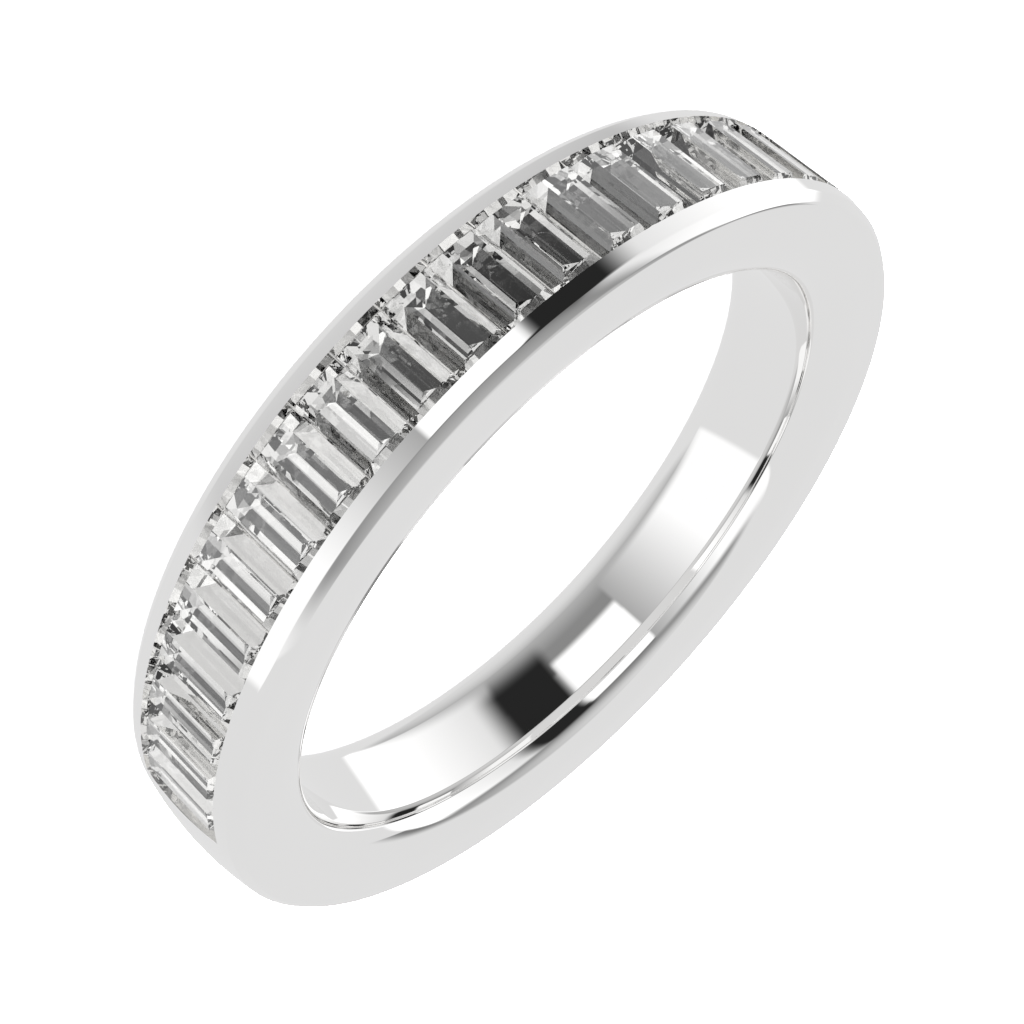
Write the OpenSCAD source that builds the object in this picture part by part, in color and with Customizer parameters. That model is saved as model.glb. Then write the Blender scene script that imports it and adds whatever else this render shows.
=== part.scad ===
// Half eternity ring: a polished comfort-fit band whose front half carries a
// channel of baguette-cut stones set side by side. The ring lies on its side:
// +Z is the finger axis, the middle stone faces -Y, and z = 0 is the middle
// of the band's width.

/* [Band] */
// Inside diameter, where the finger goes
bore_d = 16.5; // [15:0.1:21]
// Width of the band along the finger
band_w = 3.76; // [3.6:0.01:4.2]
// Thickness of the band from the bore to the outer face
band_t = 2.56; // [2.5:0.01:2.9]
// Straight stretch of the bore before the comfort curve starts
bore_straight = 0.8; // [0.4:0.1:1]
// Radius of the comfort curve on each side of that stretch
comfort_r = 7.2; // [5:0.1:8]
// Radius of the soft edge between the bore and the side face
inner_edge_r = 0.74; // [0.6:0.01:0.76]
// Radius of the outer face across its width
swell_r = 7.8; // [6:0.1:20]
// Slope of the bevel between the outer face and the side face, in degrees
bevel_angle = 42; // [38:1:50]
// Width of that bevel
bevel_w = 0.26; // [0.1:0.01:0.3]

/* [Channel] */
// Stretch of the band that the row of stones fills, in degrees
row_span = 180; // [150:1:190]
// Width of the channel between its two rims
channel_w = 2.5; // [2.2:0.01:2.6]
// Depth of the girdles below the edge of the rims
girdle_drop = 0.37; // [0.3:0.01:0.4]
// Width of the ledge under each end of the stones
ledge_w = 0.3; // [0.1:0.01:0.34]
// Play at each end of the row, in degrees
end_play = 0.4; // [0.1:0.1:1]

/* [Stones] */
// Number of stones in the row
stone_count = 25; // [20:1:27]
// Gap between one stone and the next
stone_gap = 0.035; // [0.02:0.005:0.06]
// Gap between the stones and the channel's walls, ledges and floor
seat_gap = 0.02; // [0.01:0.005:0.03]
// Height of the crown, from the girdle up to the table
crown_h = 0.36; // [0.3:0.01:0.37]
// Width of the crown's step along the stone, from the girdle in to the table
crown_step = 0.255; // [0.2:0.005:0.3]
// Width of the crown's step at the stone's ends
crown_end_step = 0.195; // [0.14:0.005:0.26]
// Thickness of the girdle
girdle_t = 0.05; // [0.03:0.01:0.07]
// Depth of the pavilion, from the girdle down to the keel
pavilion_h = 0.8; // [0.7:0.01:0.84]

/* [Hidden] */
$fn = 96;

function stone_name(i) = str("baguette_", i < 10 ? "0" : "", i);

// The band's outline runs from the bore over the side face to the outer face.
// The lean of a point is the turn of its normal: 0 at the bore, 90 on the
// side face, 180 on the outer face. Each arc meets its neighbour at a bend of
// 0.6 degrees, too slight to see.
bend = 0.6;
comfort_lean = 6;
slope_lean = 67;
crest_lean = 100;
bevel_lean = 180 - bevel_angle;
corner_r = 0.17;
crest_r = 0.12;
side_fall = 0.024;

function arc_end(p, a, b, r) = p + r * [cos(a) - cos(b), sin(b) - sin(a)];
function arc_centre(p, a, r) = p + r * [cos(a), -sin(a)];
function along(a) = [sin(a), cos(a)];

bore_r = bore_d / 2;
outer_r = bore_r + band_t;
half_w = band_w / 2;

// Bore, comfort curve, soft edge, then the side face up to its flat
p0 = [bore_r, bore_straight / 2];
p1 = arc_end(p0, bend, comfort_lean, comfort_r);
p2 = arc_end(p1, comfort_lean + bend, slope_lean, inner_edge_r);
side_in_r = (half_w - p2[1]) / (cos(bend) - sin(slope_lean + bend));
p3 = arc_end(p2, slope_lean + bend, 90 - bend, side_in_r);

// Flat, crest, bevel and corner, then the outer face
side_out_r = side_fall / (cos(bend) - sin(crest_lean));
crest_top = half_w - side_fall;
crest_foot = crest_top - crest_r * (sin(crest_lean + bend) - sin(bevel_lean - bend));
bevel_foot = crest_foot + bevel_w * cos(bevel_lean);
near_swell_z = bevel_foot - corner_r * (sin(bevel_lean) - bevel_foot / swell_r);
corner_lean = 180 - asin(near_swell_z / swell_r) - bend;
swell_z = bevel_foot - corner_r * (sin(bevel_lean + bend) - sin(corner_lean));
q0 = [outer_r - swell_r + sqrt(pow(swell_r, 2) - pow(swell_z, 2)), swell_z];
q1 = arc_end(q0, corner_lean, bevel_lean + bend, corner_r);
q2 = q1 - bevel_w * along(bevel_lean);
q3 = arc_end(q2, bevel_lean - bend, crest_lean + bend, crest_r);
q4 = arc_end(q3, crest_lean, 90 + bend, side_out_r);

// Girdle of the stones and the size of one stone
rim_r = outer_r - swell_r + sqrt(pow(swell_r, 2) - pow(channel_w / 2, 2));
girdle_r = rim_r - girdle_drop;
pitch = row_span / stone_count;
stone_w = 2 * (girdle_r - girdle_t) * tan(pitch / 2) - stone_gap;
stone_l = channel_w - 2 * seat_gap;

// Steps of the pavilion:
// [share of the depth, share of the half width lost, share of the half length lost]
steps = [[0, 0, 0], [0.5, 0.43, 0.22], [0.8, 0.75, 0.365], [1, 0.985, 0.475]];
function step_down(s) = s[0] * pavilion_h;
side_in = [for (s = steps) s[1] * stone_w / 2];
end_in = [for (s = steps) s[2] * stone_l / 2];

// The ledge lies under the pavilion's ends, and the floor under the keel
ledge_r = girdle_r - girdle_t - seat_gap - lookup(ledge_w - seat_gap,
    [for (i = [0 : len(steps) - 1]) [end_in[i], step_down(steps[i])]]);
floor_r = girdle_r - girdle_t - pavilion_h - 2 * seat_gap;

// A wedge of the section between two points of its outline
hub = [bore_r + band_t / 2, 0];
module wedge(from, to) {
    polygon([hub, hub + 1.3 * (from - hub), hub + 1.3 * (to - hub)]);
}

// Disc of the arc that leaves point p at lean a
module disc(p, a, r) {
    translate(arc_centre(p, a, r)) circle(r = r);
}

// A wedge changes over a hair past its join, on the side of the wider arc
nudge = 0.001;
s0 = p0 - nudge * along(0);
s1 = p1 - nudge * along(comfort_lean);
s2 = p2 + nudge * along(slope_lean);
s3 = p3 + nudge * along(90);
t4 = q4 - nudge * along(90);
t3 = q3 - nudge * along(crest_lean);
t2 = q2 + nudge * along(bevel_lean);
t1 = q1 - nudge * along(bevel_lean);
t0 = q0 + nudge * along(corner_lean);

module upper_section() {
    intersection() {
        wedge(s0, s1);
        disc(p0, bend, comfort_r);
    }
    intersection() {
        wedge(s1, s2);
        disc(p0, bend, comfort_r);
        disc(p1, comfort_lean + bend, inner_edge_r);
        disc(p2, slope_lean + bend, side_in_r);
    }
    intersection() {
        wedge(s2, s3);
        disc(p2, slope_lean + bend, side_in_r);
    }
    wedge(s3, t4);
    intersection() {
        wedge(t4, t3);
        disc(q3, crest_lean, side_out_r);
    }
    intersection() {
        wedge(t3, t2);
        disc(q3, crest_lean, side_out_r);
        disc(q2, bevel_lean - bend, crest_r);
    }
    wedge(t2, t1);
    intersection() {
        wedge(t1, t0);
        disc(q0, corner_lean, corner_r);
        translate([outer_r - swell_r, 0]) circle(r = swell_r);
    }
}

// The inside of the section, just short of its outline
module core() {
    upper = [for (p = [p0, p1, p2, p3, q4, q3, q2, q1, q0]) hub + 0.96 * (p - hub)];
    lower = [for (i = [len(upper) - 1 : -1 : 0]) [upper[i][0], -upper[i][1]]];
    polygon(concat(upper, lower));
}

module band_section() {
    intersection() {
        side_lines();
        union() {
            core();
            wedge([s0[0], -s0[1]], s0);
            upper_section();
            mirror([0, 1]) upper_section();
            intersection() {
                wedge(t0, [t0[0], -t0[1]]);
                translate([outer_r - swell_r, 0]) circle(r = swell_r);
            }
        }
    }
}

// Straight lines of the section: the bore, the side faces and the bevels
module side_lines() {
    up = (half_w - q2[1]) / cos(bevel_angle);
    out = (outer_r + 0.2 - q1[0]) / sin(bevel_angle);
    upper = [[bore_r, half_w], q2 - up * along(bevel_lean),
             q1 + out * along(bevel_lean)];
    lower = [for (i = [2 : -1 : 0]) [upper[i][0], -upper[i][1]]];
    polygon(concat(upper, lower));
}

// The slot that the stones sit in, with a ledge along each wall
module channel() {
    wall = channel_w / 2;
    foot = wall - ledge_w;
    rotate([0, 0, 270 - row_span / 2 - end_play])
        rotate_extrude(angle = row_span + 2 * end_play)
            polygon([[floor_r, -foot], [ledge_r, -foot], [ledge_r, -wall],
                     [outer_r + 1, -wall], [outer_r + 1, wall],
                     [ledge_r, wall], [ledge_r, foot], [floor_r, foot]]);
}

module band() {
    color("silver") difference() {
        rotate_extrude() band_section();
        channel();
    }
}

// Step-cut outline of a stone whose girdle is 2 * half wide, with the widths
// lost at the crown and at each step of the pavilion
module step_cut(half, crown_in, step_in) {
    right = concat([[half - crown_in, crown_h], [half, 0]],
        [for (i = [0 : len(steps) - 1])
            [half - step_in[i], -girdle_t - step_down(steps[i])]]);
    left = [for (i = [len(right) - 1 : -1 : 0]) [-right[i][0], right[i][1]]];
    polygon(concat(right, left));
}

module stone() {
    intersection() {
        rotate([90, 0, 0]) linear_extrude(height = stone_l + 1, center = true)
            step_cut(stone_w / 2, crown_step, side_in);
        rotate([90, 0, 90]) linear_extrude(height = stone_w + 1, center = true)
            step_cut(stone_l / 2, crown_end_step, end_in);
    }
}

// Stone i of the row, its length along the finger and its table outward
module baguette(i) {
    color("aliceblue")
        rotate([0, 0, 270 - row_span / 2 + (i - 0.5) * pitch])
            translate([girdle_r, 0, 0]) rotate([90, 0, 90]) stone();
}

band();
for (i = [1 : stone_count])
    baguette(i);
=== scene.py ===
import bpy
import bmesh
from math import radians, degrees, sin, cos, asin
from mathutils import Vector, Matrix


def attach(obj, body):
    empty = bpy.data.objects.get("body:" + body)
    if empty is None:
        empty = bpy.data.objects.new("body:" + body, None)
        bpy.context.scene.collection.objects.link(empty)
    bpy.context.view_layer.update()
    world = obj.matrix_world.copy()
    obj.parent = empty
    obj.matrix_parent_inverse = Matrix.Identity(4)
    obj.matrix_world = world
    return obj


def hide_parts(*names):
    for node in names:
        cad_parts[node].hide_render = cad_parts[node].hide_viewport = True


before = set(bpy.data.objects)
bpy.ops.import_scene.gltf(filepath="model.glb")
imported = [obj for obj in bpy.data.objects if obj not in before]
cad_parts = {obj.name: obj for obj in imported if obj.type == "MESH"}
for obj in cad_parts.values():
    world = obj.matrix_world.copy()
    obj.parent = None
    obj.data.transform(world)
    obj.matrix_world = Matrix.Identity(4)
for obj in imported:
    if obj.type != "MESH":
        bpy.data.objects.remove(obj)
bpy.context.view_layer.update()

scene = bpy.context.scene
mm = 0.001

# camera: the photo's own view, rolled as the photo is
cameraView = {
    "place": (19.6707, -42.6526, 19.6760),      # mm from the middle of the bore
    "turn": (-56.95525, -43.17037, -179.27232),   # degrees, XYZ
    "lens": 74.4906,
    "sensor": 36.0,
    "clip": (0.001, 10),
}

cam = bpy.data.objects.new("ringCamera", bpy.data.cameras.new("ringCamera"))
scene.collection.objects.link(cam)
cam.location = Vector(cameraView["place"]) * mm
cam.rotation_euler = [radians(a) for a in cameraView["turn"]]
cam.data.lens = cameraView["lens"]
cam.data.sensor_width = cameraView["sensor"]
cam.data.clip_start, cam.data.clip_end = cameraView["clip"]
scene.camera = cam
print("camera done")


def newMaterial(name):
    mat = bpy.data.materials.new(name)
    mat.use_nodes = True
    nodes = mat.node_tree.nodes
    nodes.clear()
    out = nodes.new("ShaderNodeOutputMaterial")
    out.location = (600, 0)
    return mat, nodes, mat.node_tree.links, out


# one shader whose colour drifts slowly between two near tints
def tintedMaterial(name, spec):
    mat, nodes, links, out = newMaterial(name)
    coords = nodes.new("ShaderNodeTexCoord")
    coords.location = (-800, 0)
    drift = nodes.new("ShaderNodeTexNoise")
    drift.location = (-560, 120)
    drift.inputs["Scale"].default_value = spec["driftPerMetre"]
    tint = nodes.new("ShaderNodeMix")
    tint.data_type = "RGBA"
    tint.location = (-300, 160)
    tint.inputs["A"].default_value = spec["colour"]
    tint.inputs["B"].default_value = spec["shade"]
    shader = nodes.new("ShaderNodeBsdfPrincipled")
    shader.location = (200, 0)
    shader.inputs["Roughness"].default_value = spec["roughness"]
    links.new(coords.outputs["Object"], drift.inputs["Vector"])
    links.new(drift.outputs["Fac"], tint.inputs["Factor"])
    links.new(tint.outputs["Result"], shader.inputs["Base Color"])
    links.new(shader.outputs["BSDF"], out.inputs["Surface"])
    return mat, shader


metalFinish = {
    "colour": (0.925, 0.922, 0.918, 1),
    "shade": (0.91, 0.907, 0.903, 1),
    "roughness": 0.012,
    "driftPerMetre": 220.0,
}
metal, metalShader = tintedMaterial("polishedWhiteGold", metalFinish)
metalShader.inputs["Metallic"].default_value = 1
print("metal done")

# band: the section's arcs are spun in its plane, then round the finger axis
bandShape = {
    "boreRadius": 8.25,
    # from the bore to the outer face: (lean of the surface after the arc, radius of the arc)
    "arcs": [(6.5, 9.5), (13, 1.1), (35, 0.78), (67, 0.6), (90, 2.3), ("flat", 0.6),
             (102, 0.9), (138, 0.14), (142, 3.0), (169, 0.17)],
    "swellRadius": 7.8,
    "rim": 1.25,               # half the channel's width
    "ledge": (9.857, 0.95),    # radius of the ledges, half the slot between them
    "floor": 9.449,
    "rowFrom": 179.6,          # degrees, the channel's two ends
    "rowTo": 360.4,
    "arcStep": 2.5,            # degrees of one facet along an arc
    "roundStep": 0.6,          # and round the ring
    "seam": 1e-5,              # points of one part that lie closer are joined
    "endSeam": 1e-4,           # and those where the two parts of the ring meet
    "sharpFrom": 32,           # degrees, edges that bend more stay sharp
}


# upper half of the section, in the XZ plane
def halfSection(bm, spec, slotted):
    last = bm.verts.new((spec["boreRadius"], 0, 0))
    lean = 0.0

    def lineTo(x, z):
        nonlocal last
        nextVert = bm.verts.new((x, 0, z))
        bm.edges.new((last, nextVert))
        last = nextVert

    def arcTo(toLean, radius):
        nonlocal last, lean
        centre = last.co + radius * Vector((cos(radians(lean)), 0, -sin(radians(lean))))
        turn = toLean - lean
        made = bmesh.ops.spin(bm, geom=[last], cent=centre, axis=(0, 1, 0),
                              angle=radians(turn), steps=max(2, round(turn / spec["arcStep"])))
        last = [v for v in made["geom_last"] if isinstance(v, bmesh.types.BMVert)][0]
        lean = toLean

    for toLean, size in spec["arcs"]:
        if toLean == "flat":
            lineTo(last.co.x + size, last.co.z)
        else:
            arcTo(toLean, size)
    swell = spec["swellRadius"]
    lean = 180 - degrees(asin(last.co.z / swell))
    arcTo(180 - degrees(asin(spec["rim"] / swell)), swell)
    if slotted:
        ledgeRadius, slotHalf = spec["ledge"]
        lineTo(ledgeRadius, spec["rim"])
        lineTo(ledgeRadius, slotHalf)
        lineTo(spec["floor"], slotHalf)
        lineTo(spec["floor"], 0)
    else:
        arcTo(180, swell)


def spunSection(bm, spec, slotted, fromAngle, toAngle):
    part = bmesh.new()
    halfSection(part, spec, slotted)
    seam = spec["seam"]
    bmesh.ops.mirror(part, geom=part.verts[:] + part.edges[:], axis="Z", merge_dist=seam)
    bmesh.ops.remove_doubles(part, verts=part.verts, dist=seam)
    bmesh.ops.rotate(part, verts=part.verts, cent=(0, 0, 0),
                     matrix=Matrix.Rotation(radians(fromAngle), 3, "Z"))
    turn = toAngle - fromAngle
    bmesh.ops.spin(part, geom=part.verts[:] + part.edges[:], cent=(0, 0, 0), axis=(0, 0, 1),
                   angle=radians(turn), steps=round(turn / spec["roundStep"]))
    mesh = bpy.data.meshes.new("sectionPart")
    part.to_mesh(mesh)
    part.free()
    bm.from_mesh(mesh)
    bpy.data.meshes.remove(mesh)


def makeBand(spec):
    bm = bmesh.new()
    spunSection(bm, spec, True, spec["rowFrom"], spec["rowTo"])
    spunSection(bm, spec, False, spec["rowTo"], spec["rowFrom"] + 360)
    bmesh.ops.remove_doubles(bm, verts=bm.verts, dist=spec["endSeam"])
    openEdges = [e for e in bm.edges if e.is_boundary]
    bmesh.ops.holes_fill(bm, edges=openEdges, sides=0)
    bmesh.ops.recalc_face_normals(bm, faces=bm.faces)
    print("band: open edges", len(openEdges), "left", len([e for e in bm.edges if e.is_boundary]),
          "faces", len(bm.faces), "volume mm3", round(bm.calc_volume(), 1))
    bmesh.ops.scale(bm, verts=bm.verts, vec=(mm, mm, mm))
    mesh = bpy.data.meshes.new("ringBand")
    bm.to_mesh(mesh)
    bm.free()
    for poly in mesh.polygons:
        poly.use_smooth = True
    mesh.set_sharp_from_angle(angle=radians(spec["sharpFrom"]))
    band = bpy.data.objects.new("ringBand", mesh)
    scene.collection.objects.link(band)
    mesh.materials.append(metal)
    return band


band = makeBand(bandShape)
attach(band, "root")
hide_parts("band")
band.visible_diffuse = False      # the photograph has no shadow on its white ground
band.visible_transmission = False  # and its stones are clean, with no grain from the channel's walls
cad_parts["band"].data.materials.clear()
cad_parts["band"].data.materials.append(metal)
print("band done")

# stones: the frame's own solids, cut from diamond
stoneFinish = {
    "colour": (0.985, 0.98, 0.965, 1),
    "shade": (0.965, 0.96, 0.945, 1),
    "roughness": 0.0,
    "driftPerMetre": 900.0,
    "ior": 2.417,
}
diamond, diamondShader = tintedMaterial("baguetteDiamond", stoneFinish)
diamondShader.inputs["IOR"].default_value = stoneFinish["ior"]
diamondShader.inputs["Transmission Weight"].default_value = 1
for name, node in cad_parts.items():
    if name.startswith("baguette"):
        node.data.materials.clear()
        node.data.materials.append(diamond)
        node.visible_diffuse = False
print("stones done")

# the room: pale behind the ring, dim round the soft boxes, which glow beside and behind the camera;
# az is counted from +X towards +Y and el from the horizon, both in degrees
roomWalls = {
    "back": 0.79,
    # the dim parts above and below the boxes: (az from, to, softness), (el from, to)
    "above": ((150, 352, 26), (26, 100)),
    "below": ((178, 356, 20), (-100, -18)),
    "edge": 2,                 # softness of the dim parts' lower and upper edges
    # height on the wall and its glow there
    "byHeight": [(-90, 0.8), (-71, 0.77), (-57, 0.72), (-44, 0.63), (-36, 0.53), (-32, 0.43),
                 (-27, 0.27), (35, 0.2), (47, 0.32), (60, 0.52), (76, 0.68), (90, 0.76)],
}
# soft: how soft the left, right, lower and upper edges are, in degrees
# over: degrees that the glow takes from its first value, at the left edge, to its second
softBoxes = {
    "leftBox": {"az": (166, 238), "el": (-31, 41), "soft": (6, 4, 6, 10),
                "glow": (1.4, 0.75), "over": 72},
    "rightBox": {"az": (295, 368), "el": (-32, 37), "soft": (2, 3, 4, 20),
                 "glow": (0.42, 1.1), "over": 38},
    "frontBox": {"az": (262, 295), "el": (-22, 33), "soft": (2, 2, 3, 4),
                 "glow": (1.15, 1.15), "over": 33},
    "darkPanel": {"az": (233, 262), "el": (-29, 42), "soft": (13, 6, 9, 12),
                  "glow": (0.02, 0.02), "over": 29},
}

# light that leaves the stones meets a room of its own, which has strips of lamps low round the
# ring, where the long facets send it
stoneWalls = {
    "back": 0.82,
    "above": ((150, 352, 26), (26, 100)),
    "below": ((178, 356, 20), (-100, -18)),
    "edge": 2,
    "byHeight": [(-90, 0.85), (-37, 0.85), (-30, 0.6), (30, 0.15), (60, 0.3), (90, 0.7)],
}
stoneBoxes = {
    "leftBox": {"az": (166, 238), "el": (-18, 41), "soft": (6, 4, 3, 10),
                "glow": (1.4, 0.9), "over": 72},
    "rightBox": {"az": (295, 368), "el": (-18, 37), "soft": (2, 3, 3, 20),
                 "glow": (0.5, 1.2), "over": 73},
    "frontBox": {"az": (262, 295), "el": (-18, 33), "soft": (2, 2, 3, 4),
                 "glow": (1.2, 1.2), "over": 33},
    "darkPanel": {"az": (234, 261), "el": (-18, 42), "soft": (9, 2, 3, 8),
                  "glow": (0, 0), "over": 27},
}
lowLamps = {
    "el": (-40, -16),
    "edge": 3,
    # azimuth and the glow there
    "byTurn": [(7, 0.8), (9, 0.1), (18, 0.1), (20, 1.1), (35, 1.1), (37, 0.84), (112, 0.84),
               (114, 0), (136, 0), (138, 0.7), (195, 0.7), (197, 1), (208, 1), (210, 0.15),
               (222, 0.15), (224, 1.1), (231, 1.1), (233, 0.03), (285, 0.03), (287, 0.5),
               (293, 0.5), (295, 0.03), (304, 0.03), (306, 0.4), (319, 1.2), (321, 0.03),
               (323, 0.6), (335, 0.6), (337, 0.03), (351, 0.03), (353, 0.8)],
}


def mathNode(tree, operation, first, second=None):
    node = tree.nodes.new("ShaderNodeMath")
    node.operation = operation
    for slot, value in ((0, first), (1, second)):
        if value is None:
            continue
        if isinstance(value, (int, float)):
            node.inputs[slot].default_value = value
        else:
            tree.links.new(value, node.inputs[slot])
    return node.outputs[0]


def easeNode(tree, value, low, high, toLow=0.0, toHigh=1.0, smooth=True):
    node = tree.nodes.new("ShaderNodeMapRange")
    node.interpolation_type = "SMOOTHSTEP" if smooth else "LINEAR"
    node.inputs["From Min"].default_value = low
    node.inputs["From Max"].default_value = high
    node.inputs["To Min"].default_value = toLow
    node.inputs["To Max"].default_value = toHigh
    tree.links.new(value, node.inputs["Value"])
    return node.outputs["Result"]


# degrees between the ray and az, seen from above
def turnFrom(tree, ray, az):
    dots = []
    for turn in (90, 0):
        dot = tree.nodes.new("ShaderNodeVectorMath")
        dot.operation = "DOT_PRODUCT"
        dot.inputs[1].default_value = (cos(radians(az + turn)), sin(radians(az + turn)), 0)
        tree.links.new(ray, dot.inputs[0])
        dots.append(dot.outputs["Value"])
    return mathNode(tree, "DEGREES", mathNode(tree, "ARCTAN2", dots[0], dots[1]))


def softWindow(tree, value, low, high, softLow, softHigh):
    rise = easeNode(tree, value, low - softLow / 2, low + softLow / 2)
    fall = easeNode(tree, value, high - softHigh / 2, high + softHigh / 2, 1.0, 0.0)
    return mathNode(tree, "MULTIPLY", rise, fall)


def layer(tree, under, over, mask):
    mix = tree.nodes.new("ShaderNodeMix")
    tree.links.new(mask, mix.inputs["Factor"])
    for name, value in (("A", under), ("B", over)):
        if isinstance(value, (int, float)):
            mix.inputs[name].default_value = value
        else:
            tree.links.new(value, mix.inputs[name])
    return mix.outputs["Result"]


def rampNode(tree, value, low, high, stops):
    ramp = tree.nodes.new("ShaderNodeValToRGB")
    made = ramp.color_ramp.elements
    made.remove(made[1])
    for i, (place, glow) in enumerate(stops):
        share = (place - low) / (high - low)
        stop = made.new(share) if i else made[0]
        stop.position = share
        stop.color = (glow, glow, glow, 1)
    tree.links.new(easeNode(tree, value, low, high, smooth=False), ramp.inputs["Fac"])
    return ramp.outputs["Color"]


# glow of the walls and the soft boxes in the ray's direction
def roomGlow(tree, ray, height, walls, boxes):
    wallGlow = rampNode(tree, height, -90, 90, walls["byHeight"])
    glow = walls["back"]
    for (azFrom, azTo, soft), (low, high) in (walls["above"], walls["below"]):
        half = (azTo - azFrom) / 2
        turn = turnFrom(tree, ray, azFrom + half)
        mask = mathNode(tree, "MULTIPLY", softWindow(tree, turn, -half, half, soft, soft),
                        softWindow(tree, height, low, high, walls["edge"], walls["edge"]))
        glow = layer(tree, glow, wallGlow, mask)

    for spec in boxes.values():
        azFrom, azTo = spec["az"]
        half = (azTo - azFrom) / 2
        turn = turnFrom(tree, ray, azFrom + half)
        softLeft, softRight, softLow, softHigh = spec["soft"]
        mask = mathNode(tree, "MULTIPLY", softWindow(tree, turn, -half, half, softLeft, softRight),
                        softWindow(tree, height, *spec["el"], softLow, softHigh))
        own = easeNode(tree, turn, -half, spec["over"] - half, *spec["glow"], smooth=False)
        glow = layer(tree, glow, own, mask)
    return glow


def addLowLamps(tree, ray, height, glow, lamps):
    turn = mathNode(tree, "ADD", turnFrom(tree, ray, 180), 180)
    lampGlow = rampNode(tree, turn, 0, 360, lamps["byTurn"])
    mask = softWindow(tree, height, *lamps["el"], lamps["edge"], lamps["edge"])
    return layer(tree, glow, lampGlow, mask)


# rays that leave a stone see the stones' room, all others see the metal's
def makeRoom():
    world = bpy.data.worlds.new("studioRoom")
    scene.world = world
    world.use_nodes = True
    tree = world.node_tree
    tree.nodes.clear()
    out = tree.nodes.new("ShaderNodeOutputWorld")
    back = tree.nodes.new("ShaderNodeBackground")
    back.inputs["Color"].default_value = (1, 1, 1, 1)
    ray = tree.nodes.new("ShaderNodeTexCoord").outputs["Generated"]
    split = tree.nodes.new("ShaderNodeSeparateXYZ")
    tree.links.new(ray, split.inputs["Vector"])
    height = mathNode(tree, "DEGREES", mathNode(tree, "ARCSINE", split.outputs["Z"]))
    metalGlow = roomGlow(tree, ray, height, roomWalls, softBoxes)
    stoneGlow = roomGlow(tree, ray, height, stoneWalls, stoneBoxes)
    stoneGlow = addLowLamps(tree, ray, height, stoneGlow, lowLamps)
    path = tree.nodes.new("ShaderNodeLightPath")
    glow = layer(tree, metalGlow, stoneGlow, path.outputs["Is Transmission Ray"])
    tree.links.new(glow, back.inputs["Strength"])
    tree.links.new(back.outputs["Background"], out.inputs["Surface"])


makeRoom()

# floor: pale, left out of the ring's reflections, a hair below its side face
floorLook = {"half": 1.5, "height": -1.8801, "colour": (0.93, 0.93, 0.93, 1)}


def makeFloor(spec):
    bm = bmesh.new()
    bmesh.ops.create_grid(bm, x_segments=1, y_segments=1, size=spec["half"])
    bmesh.ops.translate(bm, verts=bm.verts, vec=(0, 0, spec["height"] * mm))
    mesh = bpy.data.meshes.new("paleFloor")
    bm.to_mesh(mesh)
    bm.free()
    floor = bpy.data.objects.new("paleFloor", mesh)
    scene.collection.objects.link(floor)
    mat, nodes, links, out = newMaterial("paleFloor")
    shader = nodes.new("ShaderNodeBsdfDiffuse")
    shader.inputs["Color"].default_value = spec["colour"]
    links.new(shader.outputs["BSDF"], out.inputs["Surface"])
    mesh.materials.append(mat)
    floor.visible_glossy = False
    floor.visible_transmission = False


makeFloor(floorLook)

# overhead light, in metres and watts, for the floor alone
overhead = {"size": 0.8, "height": 0.7, "power": 40.0}
lamp = bpy.data.lights.new("overheadSoftbox", "AREA")
lamp.shape = "SQUARE"
lamp.size = overhead["size"]
lamp.energy = overhead["power"]
lampObj = bpy.data.objects.new("overheadSoftbox", lamp)
scene.collection.objects.link(lampObj)
lampObj.location = (0, 0, overhead["height"])
lampObj.visible_glossy = False
lampObj.visible_transmission = False
lampObj.visible_camera = False

scene.view_settings.view_transform = "Standard"
scene.view_settings.look = "None"
scene.cycles.max_bounces = 20
scene.cycles.transmission_bounces = 16
scene.cycles.glossy_bounces = 12
scene.cycles.diffuse_bounces = 3
scene.cycles.caustics_reflective = True
scene.cycles.caustics_refractive = True
print("studio done")
